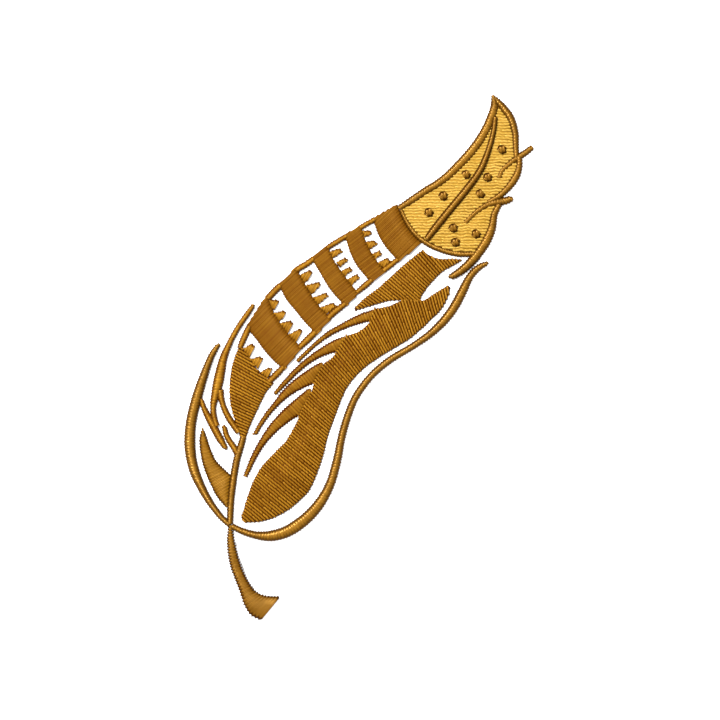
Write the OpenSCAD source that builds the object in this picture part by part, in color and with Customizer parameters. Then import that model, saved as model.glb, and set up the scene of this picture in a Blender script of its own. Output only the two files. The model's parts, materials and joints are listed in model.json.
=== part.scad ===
// Embroidered quill pen: gold and brown thread stitched through a white ground cloth.
// The motif lies flat with its front up. X and Y span the motif, and Z = 0 is its underside.
// Every stitched element is its own solid: satin columns follow a middle line, fills follow an outline.

/* [Motif] */
// Height of the whole motif along Y
motif_h = 73.6; // [60:0.2:150]
// Straight pieces that make up each curve between two of its points
curve_steps = 4; // [3:1:6]

/* [Cloth] */
// Thickness of the non-woven stabiliser under the cloth
stabiliser_t = 0.3; // [0.25:0.05:0.6]
// Thickness of the white ground cloth
cloth_t = 0.5; // [0.3:0.05:1]
// How far the ground cloth stops inside the edge of the outermost stitches
cloth_inset = 0.12; // [0.05:0.01:0.15]

/* [Thread] */
// Thickness of the flat fill stitching
fill_t = 0.4; // [0.3:0.05:0.8]
// Height of the thinnest satin column
satin_t = 0.3; // [0.2:0.05:0.6]
// Extra height of a satin column for each millimetre of its half width
satin_loft = 0.5; // [0.2:0.05:0.8]
// Thickness of the bobbin thread on the underside
bobbin_t = 0.15; // [0.1:0.05:0.25]

/* [Hidden] */

drawn_h = 73.6;                 // height at which the outlines below are drawn
unit = motif_h / drawn_h;
z_cloth = bobbin_t + stabiliser_t;
z_stitch = z_cloth + cloth_t;
z_over_fill = z_stitch + fill_t;
shoulder_share = 0.6;           // share of a satin column's height that is full width
crown_share = 0.6;              // share of its width that the rest of the height keeps
bobbin_share = 0.5;             // share of a column's width that bobbin thread covers underneath

brown = [0.58, 0.36, 0.08];
gold = [0.87, 0.66, 0.27];
white = [0.95, 0.95, 0.93];

// ---- Middle lines of the satin columns: [x, y, half width] ----

outline_right_line = [
    [18.3, 13.25, 0.2], [17.3, 12.8, 0.38], [16.4, 12.1, 0.46], [15.6, 11.1, 0.5], [14.8, 9.5, 0.6],
    [13.9, 7.7, 0.62], [12.8, 6, 0.6], [11.5, 4.5, 0.56], [9.8, 3, 0.48], [7.6, 1.5, 0.44],
    [4.9, -0.1, 0.46], [2.6, -1.9, 0.46], [0.9, -3.8, 0.46], [-0.5, -6, 0.48], [-1.6, -8.9, 0.5],
    [-2.3, -11.5, 0.52], [-2.8, -14.1, 0.56], [-3.6, -17.1, 0.6], [-4.6, -19.3, 0.66],
    [-6, -21.3, 0.74],
    [-7.9, -23.1, 0.8], [-10, -24.4, 0.78], [-12, -24.95, 0.72], [-14, -24.9, 0.52],
    [-16, -24.35, 0.42],
    [-17.6, -23.6, 0.35],
];
outline_left_line = [
    [-17.8, -23.5, 0.33], [-19.2, -22.2, 0.38], [-20.7, -20.2, 0.46], [-21.9, -18.1, 0.56],
    [-22.8, -16, 0.66], [-23.3, -14, 0.7], [-23.5, -11.8, 0.74], [-23.3, -9, 0.7], [-22.6, -6, 0.68],
    [-21.8, -3.4, 0.6], [-21, -1.1, 0.46], [-20.3, 0.5, 0.4], [-19.4, 1.9, 0.24],
];
calamus_left = [
    [-18.1, -23.1], [-18.3, -26], [-17.9, -29], [-17.2, -31], [-16.5, -32.9], [-15.9, -34.7],
    [-15, -36.1], [-13.6, -36.8],
];
calamus_right = [
    [-17.6, -23.1], [-17.1, -26], [-16.3, -29], [-15.3, -31.2], [-14.2, -32.7], [-12.8, -33.3],
    [-10.8, -33.4],
];
rachis_line = [
    [-17.85, -23.3, 0.38], [-17.75, -20.5, 0.42], [-17.4, -17.2, 0.45], [-16.9, -14.3, 0.45],
    [-16.2, -11.9, 0.42], [-15.8, -10.4, 0.3],
];
wisp_long_line = [
    [-14.5, 7.4, 0.25], [-15.5, 6, 0.34], [-16.9, 3.9, 0.34], [-18, 1.8, 0.38], [-18.8, -0.2, 0.52],
    [-19.4, -3, 0.68], [-19.9, -5.2, 0.55], [-20.2, -6.8, 0.38], [-20.1, -8.2, 0.36],
    [-19.7, -9.6, 0.36],
];
wisp_branch_line = [
    [-19.3, -4.4, 0.5], [-19, -6.1, 0.36], [-18.5, -7.5, 0.38], [-17.8, -8.8, 0.4], [-16.6, -10.5, 0.4],
];
wisp_low_line = [
    [-21.9, -5.8, 0.2], [-21.4, -7.3, 0.36], [-20.4, -9.2, 0.48], [-19.4, -11.1, 0.48],
    [-18.4, -12.8, 0.26],
];
wisp_short_line = [
    [-18.7, -9.5, 0.28], [-18.3, -11, 0.34], [-17.5, -12.3, 0.38], [-16.7, -13.6, 0.4],
];
outer_margin_line = [
    [-16.9, 0.4, 0.2], [-16.2, 2, 0.36], [-15.5, 3.6, 0.4], [-14.6, 5.3, 0.3], [-12.5, 8.3, 0.42],
    [-11.2, 9.7, 0.42], [-9.7, 11.1, 0.3], [-8.3, 12.4, 0.38], [-7, 13.2, 0.38], [-5.2, 14.6, 0.3],
    [-3.7, 15.7, 0.33], [-2.4, 16.5, 0.33], [-0.7, 17.5, 0.3], [0.9, 18.5, 0.32],
    [2.2, 19.2, 0.3], [3.6, 20, 0.3],
];
inner_margin_line = [
    [-12.4, -3.4, 0.34], [-11.3, -2.3, 0.42], [-10.2, -1.1, 0.34], [-8.2, 1.3, 0.34], [-7, 2.5, 0.44],
    [-5.7, 3.8, 0.4], [-4.3, 5.3, 0.34], [-3.2, 6.4, 0.42], [-1.9, 7.4, 0.36], [-0.2, 9, 0.3],
    [1.2, 10.2, 0.38], [2.6, 11.4, 0.3], [4.2, 12.6, 0.36], [5.6, 13.7, 0.3],
];
right_barb_lines = [
    [[3.4, 6, 0.95], [1.5, 5.75, 0.74], [-0.3, 5.15, 0.6], [-2.2, 4.3, 0.44], [-4.2, 3.2, 0.36],
     [-6.2, 1.6, 0.27],
     [-8.4, -0.5, 0.25]],
    [[-1, 2, 1.1], [-2.8, 1.7, 0.9], [-4.3, 1.1, 0.68], [-5.8, 0.3, 0.52], [-7.6, -1, 0.42],
     [-9.3, -2.6, 0.38],
     [-11.6, -5.1, 0.24]],
    [[-4.4, -1.6, 1.2], [-6.2, -2.5, 1.1], [-8.3, -3.7, 0.84], [-10, -5, 0.62], [-11.5, -6.6, 0.4],
     [-13.1, -8.6, 0.33], [-14.4, -10.8, 0.26]],
    [[-6, -5.4, 1.4], [-8, -6.7, 1.15], [-9.9, -8.1, 0.93], [-11.7, -9.8, 0.72], [-13.2, -11.7, 0.5],
     [-14.5, -13.9, 0.4], [-15.7, -16.6, 0.28]],
];
tip_front_edge_line = [
    [5.8, 20.85, 0.34], [7.6, 22, 0.46], [9.6, 23.35, 0.48], [11.2, 24.3, 0.5], [12.7, 25.45, 0.54],
    [14.1, 26.8, 0.58], [15.6, 28.4, 0.6], [17, 30.2, 0.6], [18.1, 32.1, 0.58], [18.8, 33.8, 0.56],
    [19.2, 35.2, 0.5], [18.9, 36.75, 0.14],
];
tip_back_edge_upper_line = [
    [19.1, 36.5, 0.14], [20, 35.4, 0.46], [21.3, 33.7, 0.52], [22, 31.6, 0.48],
    [22.1, 29.8, 0.44], [22.2, 28.1, 0.36],
];
tip_back_edge_middle_line = [
    [22.6, 28, 0.4], [22.6, 26.7, 0.44], [22.1, 25.2, 0.52], [21, 23.7, 0.48], [19.8, 22.6, 0.4],
    [18.3, 21.8, 0.24],
];
tip_back_edge_lower_line = [
    [19.8, 21.4, 0.4], [19.1, 20, 0.45], [18.8, 18.2, 0.55], [18, 16.3, 0.63], [16.9, 14.6, 0.6],
    [15.3, 12.8, 0.55], [13.7, 11.6, 0.45], [12.8, 11.25, 0.28],
];
tip_base_edge_line = [
    [6.1, 20.7, 0.26], [6.9, 19, 0.3], [8.2, 17.2, 0.33], [9.9, 15.9, 0.36], [12, 15, 0.37],
    [14.2, 14.5, 0.37], [16.4, 14.5, 0.33],
];
tip_barb_upper_line = [
    [19.8, 25.1, 0.25], [20.2, 26.1, 0.3], [21.1, 27, 0.36], [22.4, 27.95, 0.44], [23.5, 28.65, 0.42],
    [24.5, 29.5, 0.36],
];
tip_barb_lower_line = [
    [15.1, 18.9, 0.22], [16.3, 20.1, 0.3], [17.8, 21.2, 0.4], [19.4, 21.8, 0.45], [20.7, 22, 0.4],
    [21.6, 22.4, 0.26],
];
tip_vein_line = [
    [19.3, 33.8, 0.2], [19, 31.6, 0.28], [18.3, 29, 0.33], [17.1, 26.1, 0.4], [15, 23.2, 0.44],
    [12.6, 20.3, 0.45], [10.7, 17.9, 0.45], [9.7, 16.6, 0.34],
];

// ---- Outlines of the fills: [x, y], with a third value at each corner ----

down_patch_points = [
    [-21.7, -9.9, 1], [-21.3, -10.6], [-20.7, -12.4], [-20, -14.1], [-19.1, -15.2], [-17.9, -16.3, 1],
    [-17.4, -18, 1], [-17.8, -21.4, 1], [-18.2, -21.1], [-19.6, -19.6], [-20.6, -17.7], [-21.5, -15.5],
    [-22, -13.3], [-22.1, -11.3],
];
vane_base_points = [
    [-16.5, 1.7, 1], [-17.2, 0], [-17.7, -2], [-17.9, -4.2], [-17.8, -6.4], [-17.3, -8.3],
    [-16.7, -10.2],
    [-16.3, -11.6, 1], [-15.6, -11.2, 1], [-15, -9.5], [-13.9, -7.1], [-12.8, -4.9], [-11.7, -3.6, 1],
    [-12.2, -3.2, 1], [-13.7, -2], [-14.6, -0.9], [-15.4, 0.4],
];
// Each bar runs past both margins, and is cut to the vane
bar_points = [
    [[5.7, 12.9, 1], [9.8, 15.8, 1], [9, 16.2, 1], [7.6, 17.8], [6.6, 19.6], [6, 21, 1], [5.2, 21.8, 1],
     [1.8, 20.2, 1], [2.4, 18.6, 1], [2.9, 17.2], [3.9, 15.5], [5.4, 13.8, 1]],
    [[2.4, 9.9, 1], [4.7, 11.7, 1], [3.5, 12.5, 1], [2.3, 14.1], [1.1, 16.4], [0.4, 19.1, 1],
     [-2.3, 17.6, 1], [-1.5, 16.2, 1], [-1, 14.6], [-0.2, 13], [0.9, 11.6], [1.7, 10.7, 1]],
    [[-1.3, 6.8, 1], [0.7, 8.7, 1], [-0.2, 9.4, 1], [-1.4, 10.9], [-2.5, 12.4], [-3.4, 13.8],
     [-4.4, 16.2, 1], [-7, 14.4, 1], [-6, 13.1, 1], [-5.1, 11.6], [-4.1, 9.9], [-3, 8.5], [-2.1, 7.6, 1]],
    [[-5.8, 3, 1], [-3.4, 5.2, 1], [-4.2, 6, 1], [-5.1, 6.9], [-6.3, 8.5], [-7.4, 10.4],
     [-8.7, 12.8, 1], [-11.6, 10.6, 1], [-10.6, 9.3, 1], [-9.9, 8], [-8.9, 6.8], [-7.6, 5.2],
     [-6.4, 3.9, 1]],
    [[-10, -2, 1], [-7.5, 1.1, 1], [-8.6, 2.2, 1], [-9.7, 3.3], [-10.9, 5], [-11.8, 6.5],
     [-12.7, 9.1, 1], [-15.9, 5, 1], [-14.9, 3.4, 1], [-14, 2.3], [-12.9, 0.8], [-11.6, -0.6],
     [-10.7, -1.3, 1]],
];
vane_top_points = [[5.6, 21.5], [9.2, 16.2], [8, 15.3], [7, 14.4]];
// Teeth along the upper edge of a bar: base, two points of the blunt tip, base
bar_2_teeth_points = [
    [[0.7, 17.7], [1.7, 17.8], [2.1, 17.3], [1, 16.8]],
    [[1.2, 16.2], [2.3, 16.4], [2.8, 15.9], [1.7, 15.1]],
    [[2.1, 14.5], [3.1, 15], [3.4, 14.4], [2.5, 13.8]],
    [[2.9, 13.3], [4.2, 14], [4.6, 13.5], [3.6, 12.5]],
];
bar_3_teeth_points = [
    [[-3.9, 14.8], [-2.5, 15.3], [-2.1, 14.8], [-3.4, 13.9]],
    [[-3, 13.3], [-1.7, 14], [-1.3, 13.6], [-2.5, 12.6]],
    [[-2.3, 12.1], [-1.1, 12.7], [-0.7, 12.2], [-1.8, 11.4]],
    [[-1.4, 10.9], [-0.1, 11.7], [0.3, 11.2], [-0.8, 10.1]],
];
bar_4_teeth_points = [
    [[-8, 11.6], [-6.6, 12.3], [-6.3, 11.8], [-7.4, 10.3]],
    [[-7.2, 10.1], [-5.4, 10.6], [-5.1, 10.2], [-6.4, 8.8]],
    [[-6.2, 8.4], [-4.4, 9.1], [-4.1, 8.6], [-5.5, 7.4]],
    [[-5.2, 7], [-3.4, 7.7], [-3, 7.2], [-4.3, 6.1]],
];
bar_5_teeth_points = [
    [[-12.4, 8], [-11.3, 8.1], [-10.9, 7.8], [-11.8, 6.6]],
    [[-11.6, 6.2], [-10.3, 6.6], [-10, 6.2], [-10.9, 5]],
    [[-10.8, 4.8], [-9.4, 5.2], [-9, 4.8], [-9.8, 3.4]],
    [[-9.6, 3.2], [-8, 4.1], [-7.7, 3.6], [-8.6, 2.2]],
];
vane_base_teeth_points = [
    [[-16, 1.2], [-14.8, 2], [-14.4, 1.6], [-15.1, -0.1]],
    [[-15, -0.3], [-13.7, 0.2], [-13.3, -0.1], [-13.9, -1.7]],
    [[-13.6, -2.1], [-12.5, -1.4], [-12, -1.5], [-12.4, -3]],
];
right_vane_top_points = [
    [-0.5, 6.9, 1], [1, 8.3], [3, 9.8], [5.5, 12.1], [8, 14.2], [9.1, 15, 1], [10.1, 14.3],
    [11.5, 13.8],
    [13.2, 13.8], [14.7, 13.7, 1], [13.5, 12.9], [11.9, 12], [10.2, 10.3], [9.1, 8.8], [8.7, 7.9, 1],
    [6.3, 8.05, 1], [4.3, 7.9], [2.2, 7.3], [-0.2, 6.6, 1],
];
right_vane_main_points = [
    [12.7, 10.1, 1], [13, 9.8, 1], [12.7, 8.6], [11.7, 6.7], [10.2, 5.2], [8.6, 3.7], [7, 2.4],
    [4.8, 1.1],
    [2.7, -0.2], [0.7, -1.7], [-1.2, -3.8], [-2.3, -6], [-3.2, -8.4], [-4.1, -10.9],
    [-4.8, -13.7], [-5.5, -15.8],
    [-6.7, -18.5], [-8.5, -20.4], [-10.6, -21.9], [-13.2, -22.9], [-15.7, -23.1, 1], [-16.3, -22.4, 1],
    [-15.6, -20.2], [-14.8, -17.8], [-13.5, -15.4], [-11.6, -13.3], [-10.1, -11.8], [-9, -10],
    [-7.9, -7.7, 1],
    [-6.4, -4.7, 1], [-6, -3.3, 1], [-4.6, -0.7, 1], [-3.6, -0.1], [-2.9, 0.8, 1], [-1.6, 3, 1],
    [0.3, 3.7],
    [1.7, 4.9, 1], [2.4, 6.8, 1], [4.4, 7.2], [6.3, 8.05, 1], [8.7, 7.9, 1], [9.5, 8.1], [11, 9.1],
];
tip_spots = [
    [20.2, 29.1], [15.2, 25.6], [18.2, 25.2], [12, 22.6], [17.2, 22.9],
    [10, 20.3], [13.4, 18.1], [16.6, 17.3], [13.7, 16.1],
];
crossing_y = -23.9;             // the outlines, the rachis and the shaft cross just above this height
spot_size = [1.3, 1.1];         // length and width of a spot
spot_turn = -40;                // direction of a spot's long side
spot_t = 0.35;                  // height of a spot above the fill

bar_teeth_points = [bar_2_teeth_points, bar_3_teeth_points, bar_4_teeth_points, bar_5_teeth_points];
outline_lines = [outline_right_line, outline_left_line];
margin_lines = [outer_margin_line, inner_margin_line];
wisp_lines = [wisp_long_line, wisp_branch_line, wisp_low_line, wisp_short_line];
wisp_top_line = [for (i = [3 : -1 : 0]) wisp_long_line[i]];
margin_top_line = [for (i = [4 : len(outer_margin_line) - 1]) outer_margin_line[i]];
tip_edge_lines = [
    tip_barb_upper_line, tip_barb_lower_line, tip_front_edge_line, tip_back_edge_upper_line,
    tip_back_edge_middle_line, tip_back_edge_lower_line, tip_base_edge_line,
];

// ---- Curves ----

function item(list, i) = list[(i + len(list)) % len(list)];
function xy(p) = [p.x, p.y];
function is_corner(p) = len(p) > 2;

// A point at t between a and b on a curve that leaves a along u and reaches b along v
function bend(a, b, u, v, t) =
    (2 * t ^ 3 - 3 * t ^ 2 + 1) * a + (t ^ 3 - 2 * t ^ 2 + t) * u
    + (3 * t ^ 2 - 2 * t ^ 3) * b + (t ^ 3 - t ^ 2) * v;

// A smooth open curve through points of any dimension
function curve(p) = [
    for (i = [0 : len(p) - 2], s = [0 : curve_steps - 1])
        bend(
            p[i], p[i + 1],
            i == 0 ? p[1] - p[0] : (p[i + 1] - p[i - 1]) / 2,
            i == len(p) - 2 ? p[i + 1] - p[i] : (p[i + 2] - p[i]) / 2,
            s / curve_steps
        ),
    p[len(p) - 1],
];

// A smooth closed curve through points, with a kink at each corner
function loop(p) = [
    for (i = [0 : len(p) - 1], s = [0 : curve_steps - 1])
        let (a = xy(p[i]), b = xy(item(p, i + 1)))
        bend(
            a, b,
            is_corner(p[i]) ? b - a : (b - xy(item(p, i - 1))) / 2,
            is_corner(item(p, i + 1)) ? b - a : (xy(item(p, i + 2)) - a) / 2,
            s / curve_steps
        ),
];

function along(c, i) = xy(c[min(i + 1, len(c) - 1)]) - xy(c[max(i - 1, 0)]);
function across(c, i) = let (d = along(c, i)) [-d.y, d.x] / norm(d);

// One side of a column: side is 1 for left and -1 for right
function rail(line, side, share, inset) =
    let (c = curve(line))
    [for (i = [0 : len(c) - 1]) xy(c[i]) + side * across(c, i) * max(c[i].z * share - inset, 0.04)];

function reversed(list) = [for (i = [len(list) - 1 : -1 : 0]) list[i]];
function middle(line) = [for (p = curve(line)) xy(p)];
function below_crossing(list) = [for (p = list) if (p.y < crossing_y) p];

// ---- Flat shapes ----

module column(line, share = 1, inset = 0) {
    scale(unit) polygon(concat(rail(line, 1, share, inset), reversed(rail(line, -1, share, inset))));
}

module columns(lines, share = 1, inset = 0) {
    for (line = lines) column(line, share, inset);
}

module patch(points) {
    scale(unit) polygon(loop(points));
}

module teeth(list) {
    for (tooth = list) scale(unit) polygon(tooth);
}

module calamus_shape() {
    scale(unit) polygon(concat(curve(calamus_left), reversed(curve(calamus_right))));
}

module spot_shape(i) {
    scale(unit) translate(tip_spots[i]) rotate(spot_turn) polygon([
        for (a = [0 : 30 : 330]) [spot_size.x * cos(a), spot_size.y * sin(a)] / 2,
    ]);
}

module tip_outline() {
    scale(unit) polygon(concat(
        middle(tip_front_edge_line), middle(tip_back_edge_upper_line), middle(tip_back_edge_middle_line),
        middle(tip_back_edge_lower_line), reversed(middle(tip_base_edge_line))
    ));
}

// The cloth runs from outline to outline, so that the outermost columns wrap its cut edge
module cloth_shape() {
    scale(unit) polygon(concat(
        middle(outline_right_line), below_crossing(curve(calamus_right)),
        below_crossing(reversed(curve(calamus_left))), middle(outline_left_line), middle(wisp_top_line),
        middle(margin_top_line), middle(tip_base_edge_line)
    ));
    tip_outline();
    columns(concat(outline_lines, tip_edge_lines, [wisp_top_line, margin_top_line]), 1, cloth_inset);
}

// The left vane between the far sides of its two margins
module left_vane_shape() {
    scale(unit) polygon(concat(
        rail(outer_margin_line, 1, 1, 0), vane_top_points, reversed(rail(inner_margin_line, -1, 1, 0))
    ));
}

module bar_shape(i) {
    difference() {
        intersection() {
            patch(bar_points[i]);
            left_vane_shape();
        }
        columns(tip_edge_lines);
    }
}

module bar_teeth_shape(i) {
    difference() {
        teeth(bar_teeth_points[i - 1]);
        patch(bar_points[i]);
        columns(margin_lines);
    }
}

module vane_base_teeth_shape() {
    difference() {
        teeth(vane_base_teeth_points);
        patch(vane_base_points);
        columns(margin_lines);
    }
}

module right_barb_shape(i) {
    difference() {
        column(right_barb_lines[i]);
        patch(right_vane_main_points);
        patch(right_vane_top_points);
        for (j = [0 : 1 : i - 1]) column(right_barb_lines[j]);
    }
}

module tip_fill_shape() {
    difference() {
        tip_outline();
        columns(tip_edge_lines);
    }
}

// ---- Solids ----

module lay(z, t) {
    translate([0, 0, z]) linear_extrude(t) children();
}

// A satin column: full width below, narrower at the crown. Children are cut away from it.
module satin(line, z = z_stitch) {
    rise = satin_t + satin_loft * max([for (p = line) p.z]);
    lay(z, rise * shoulder_share) difference() {
        column(line);
        children();
    }
    lay(z + rise * shoulder_share, rise * (1 - shoulder_share)) difference() {
        column(line, crown_share);
        children();
    }
}

module bobbin() {
    color(white) lay(0, bobbin_t) children();
}

module stabiliser() {
    color(white) lay(bobbin_t, stabiliser_t) cloth_shape();
}

module ground_cloth() {
    color(white) lay(z_cloth, cloth_t) cloth_shape();
}

module outline_bobbin() {
    bobbin() difference() {
        columns(concat(outline_lines, wisp_lines, [rachis_line]), bobbin_share);
        calamus_shape();
        patch(vane_base_points);
        patch(down_patch_points);
    }
    bobbin() patch(down_patch_points);
}

module shaft_bobbin() {
    bobbin() calamus_shape();
}

module tip_bobbin() {
    bobbin() difference() {
        tip_fill_shape();
        columns(tip_edge_lines);
    }
}

module left_vane_bobbin() {
    for (i = [0 : 4]) bobbin() bar_shape(i);
    bobbin() patch(vane_base_points);
}

module right_vane_bobbin() {
    bobbin() patch(right_vane_main_points);
    bobbin() patch(right_vane_top_points);
}

module outline_right() {
    color(gold) satin(outline_right_line) calamus_shape();
}

module outline_left() {
    color(gold) satin(outline_left_line) {
        calamus_shape();
        column(outline_right_line);
    }
}

module calamus() {
    color(brown) lay(z_stitch, fill_t) calamus_shape();
}

module rachis() {
    color(gold) satin(rachis_line) {
        calamus_shape();
        columns(outline_lines);
        patch(vane_base_points);
    }
}

module down_patch() {
    color(gold) lay(z_stitch, fill_t) difference() {
        patch(down_patch_points);
        column(outline_left_line);
        column(rachis_line);
        columns(wisp_lines);
    }
}

module wisp(i) {
    color(brown) satin(wisp_lines[i]) {
        patch(vane_base_points);
        column(outline_left_line);
        column(rachis_line);
        for (j = [0 : 1 : i - 1]) column(wisp_lines[j]);
    }
}

module wisp_long() wisp(0);
module wisp_branch() wisp(1);
module wisp_low() wisp(2);
module wisp_short() wisp(3);

module vane_base() {
    color(brown) lay(z_stitch, fill_t) patch(vane_base_points);
}

module vane_base_teeth() {
    color(brown) lay(z_stitch, fill_t) vane_base_teeth_shape();
}

module bar(i) {
    color(brown) lay(z_stitch, fill_t) bar_shape(i);
}

module bar_teeth(i) {
    color(brown) lay(z_stitch, fill_t) bar_teeth_shape(i);
}

module bar_1() bar(0);
module bar_2() bar(1);
module bar_3() bar(2);
module bar_4() bar(3);
module bar_5() bar(4);
module bar_2_teeth() bar_teeth(1);
module bar_3_teeth() bar_teeth(2);
module bar_4_teeth() bar_teeth(3);
module bar_5_teeth() bar_teeth(4);

module outer_margin() {
    color(brown) satin(outer_margin_line) {
        for (points = bar_points) patch(points);
        patch(vane_base_points);
        columns(tip_edge_lines);
        column(wisp_long_line);
    }
}

module inner_margin() {
    color(brown) satin(inner_margin_line) {
        for (points = bar_points) patch(points);
        patch(vane_base_points);
        columns(tip_edge_lines);
    }
}

module right_vane_top() {
    color(brown) lay(z_stitch, fill_t) patch(right_vane_top_points);
}

module right_vane_main() {
    color(brown) lay(z_stitch, fill_t) difference() {
        patch(right_vane_main_points);
        patch(right_vane_top_points);
    }
}

module right_barb(i) {
    color(brown) lay(z_stitch, fill_t) right_barb_shape(i);
}

module right_barb_1() right_barb(0);
module right_barb_2() right_barb(1);
module right_barb_3() right_barb(2);
module right_barb_4() right_barb(3);

module tip_fill() {
    color(gold) lay(z_stitch, fill_t) tip_fill_shape();
}

// An edge of the tip gives way to the edges named before it in tip_edge_lines
module tip_edge(i) {
    color(brown) satin(tip_edge_lines[i]) for (j = [0 : 1 : i - 1]) column(tip_edge_lines[j]);
}

module tip_barb_upper() tip_edge(0);
module tip_barb_lower() tip_edge(1);
module tip_front_edge() tip_edge(2);
module tip_back_edge_upper() tip_edge(3);
module tip_back_edge_middle() tip_edge(4);
module tip_back_edge_lower() tip_edge(5);
module tip_base_edge() tip_edge(6);

module tip_vein() {
    color(brown) satin(tip_vein_line, z_over_fill) columns(tip_edge_lines);
}

module tip_spot(i) {
    color(brown) lay(z_over_fill, spot_t) difference() {
        spot_shape(i);
        columns(tip_edge_lines);
        column(tip_vein_line);
    }
}

module tip_spot_1() tip_spot(0);
module tip_spot_2() tip_spot(1);
module tip_spot_3() tip_spot(2);
module tip_spot_4() tip_spot(3);
module tip_spot_5() tip_spot(4);
module tip_spot_6() tip_spot(5);
module tip_spot_7() tip_spot(6);
module tip_spot_8() tip_spot(7);
module tip_spot_9() tip_spot(8);

stabiliser();
ground_cloth();
outline_bobbin();
shaft_bobbin();
tip_bobbin();
left_vane_bobbin();
right_vane_bobbin();
outline_right();
outline_left();
calamus();
rachis();
down_patch();
wisp_long();
wisp_branch();
wisp_low();
wisp_short();
vane_base();
vane_base_teeth();
bar_1();
bar_2();
bar_3();
bar_4();
bar_5();
bar_2_teeth();
bar_3_teeth();
bar_4_teeth();
bar_5_teeth();
outer_margin();
inner_margin();
right_vane_top();
right_vane_main();
right_barb_1();
right_barb_2();
right_barb_3();
right_barb_4();
tip_fill();
tip_front_edge();
tip_back_edge_upper();
tip_back_edge_middle();
tip_back_edge_lower();
tip_base_edge();
tip_barb_upper();
tip_barb_lower();
tip_vein();
tip_spot_1();
tip_spot_2();
tip_spot_3();
tip_spot_4();
tip_spot_5();
tip_spot_6();
tip_spot_7();
tip_spot_8();
tip_spot_9();
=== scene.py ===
import json
import math
import random
import bpy
import numpy as np
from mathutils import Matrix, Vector, noise
from mathutils.geometry import delaunay_2d_cdt


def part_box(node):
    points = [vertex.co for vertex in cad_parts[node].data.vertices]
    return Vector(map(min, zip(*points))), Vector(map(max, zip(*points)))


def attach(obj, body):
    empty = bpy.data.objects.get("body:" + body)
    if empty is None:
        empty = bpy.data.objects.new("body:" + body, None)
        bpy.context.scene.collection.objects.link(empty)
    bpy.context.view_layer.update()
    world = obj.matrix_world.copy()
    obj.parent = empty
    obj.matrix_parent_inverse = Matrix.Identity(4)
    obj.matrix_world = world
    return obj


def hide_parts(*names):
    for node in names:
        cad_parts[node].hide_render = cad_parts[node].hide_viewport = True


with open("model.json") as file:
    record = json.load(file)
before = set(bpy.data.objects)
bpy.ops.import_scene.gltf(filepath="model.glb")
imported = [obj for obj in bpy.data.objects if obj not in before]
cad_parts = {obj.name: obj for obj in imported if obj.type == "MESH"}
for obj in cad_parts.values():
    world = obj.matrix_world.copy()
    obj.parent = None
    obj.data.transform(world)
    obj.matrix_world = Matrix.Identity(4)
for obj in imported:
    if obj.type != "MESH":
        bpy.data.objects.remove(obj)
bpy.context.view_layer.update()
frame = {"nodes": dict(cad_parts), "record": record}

MM = 0.001
NODES = frame["nodes"]
SLOTS = {s["node"]: s["material_slot"] for s in frame["record"]["subparts"]}

# Sizes of the stitching, in mm
FILL_PITCH = 0.4            # from row to row in a fill
SATIN_PITCH = 0.2           # from stitch to stitch in satin
SATIN_WIDTH = SATIN_PITCH * 1.4     # of one stitch, which overlaps the next
BOBBIN_PITCH = 0.34         # from row to row on the underside
THREAD_SPREAD = 0.05        # how far a column's threads spread past the CAD's half width
NEEDLE_GAP = 0.3            # how far from a row's end it starts to dip
ROW_END_DIP = 0.7           # how far down it goes there, as a share of the fill's thickness
HOLE_RADIUS = 0.22          # how far from a needle hole inside a row the thread dips
HOLE_DIP = 0.1              # how deep it dips there
STITCH_JITTER = 0.12        # how uneven the stitches in a row are
ROW_OUT = 0.07              # how far past the outline a row may end
ROW_IN = 0.03               # how far short of it
ROW_REACH = 0.14            # how far a row goes under the piece that it meets
ROW_PROBE = 0.2             # how far past a row's end another piece counts as met
GUIDE_REACH = 1.2           # how far from its guide a row may start
SLIT = 0.8                  # the widest slit that a row's other stretches may lie beyond
LEAST_SINE = 0.35           # of the angle between a row and its guide, where the rows are spaced by it
LINE_START = 0.03           # how far from the end of a column its first stitch is
LINE_PROBE = 0.3            # how far past a column's end another piece counts as met
END_PROBE = 0.12            # how far past a stitch's end another piece counts as met
NEEDLE_JITTER = 0.03        # how uneven the needle holes of satin are
NEEDLE_OUT = 0.02           # how far past the outline a zigzag's needle holes lie
TOOTH = 0.05                # how far past it, and then short of it, stitches end where they lie side by side
SHORTEST_ROW = 0.12         # a row of a fill that is shorter is left out
SHORTEST_STITCH = 0.08      # and so is a shorter stitch of satin
PADDING_INSET = 0.03        # how far the padding stops short of the needle holes
PADDING_REACH = 0.06        # how far the padding goes past them under another piece
PADDING_DROP = 0.03         # how far the padding lies below its threads
PADDING_TONE = 0.35         # where the padding lies between the dark and the light tone, from 0 to 1

# Where a row's first needle hole lies, how much later it does in each next row, and how near its end the last
# one may be, all as shares of a stitch
FIRST_HOLE = 0.35
HOLE_STAGGER = 0.31
LAST_HOLE = 0.25

# How dark the threads get, from 0 to 1, mostly as painted shade
PLY_SHADE = 0.35            # painted shade in the groove between two plies
FLANK_SHADE = 0.8           # painted shade on the underside, against the next row
EDGE_SHADE = 0.97           # painted shade at a needle hole of satin, for the shaded sides of a column
EDGE_POWER = 0.65           # how that painted shade spreads from there
MOST_SHADE = 0.95           # the darkest that satin gets
ROW_END_SHADE = 0.85        # painted shade at the end of a row
HOLE_SHADE = 0.5            # painted shade at a needle hole inside a row
RIDGE_SHADE = 4.0           # painted shade for each mm that a stitch lies lower
FULL_SHADE = 1.7            # the length in mm from which satin takes all of the dark set for its piece


# ---------------------------------------------------------------- outlines of the CAD nodes, in mm

def box_mm(node):
    low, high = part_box(node)
    return [c / MM for c in low], [c / MM for c in high]


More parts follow.
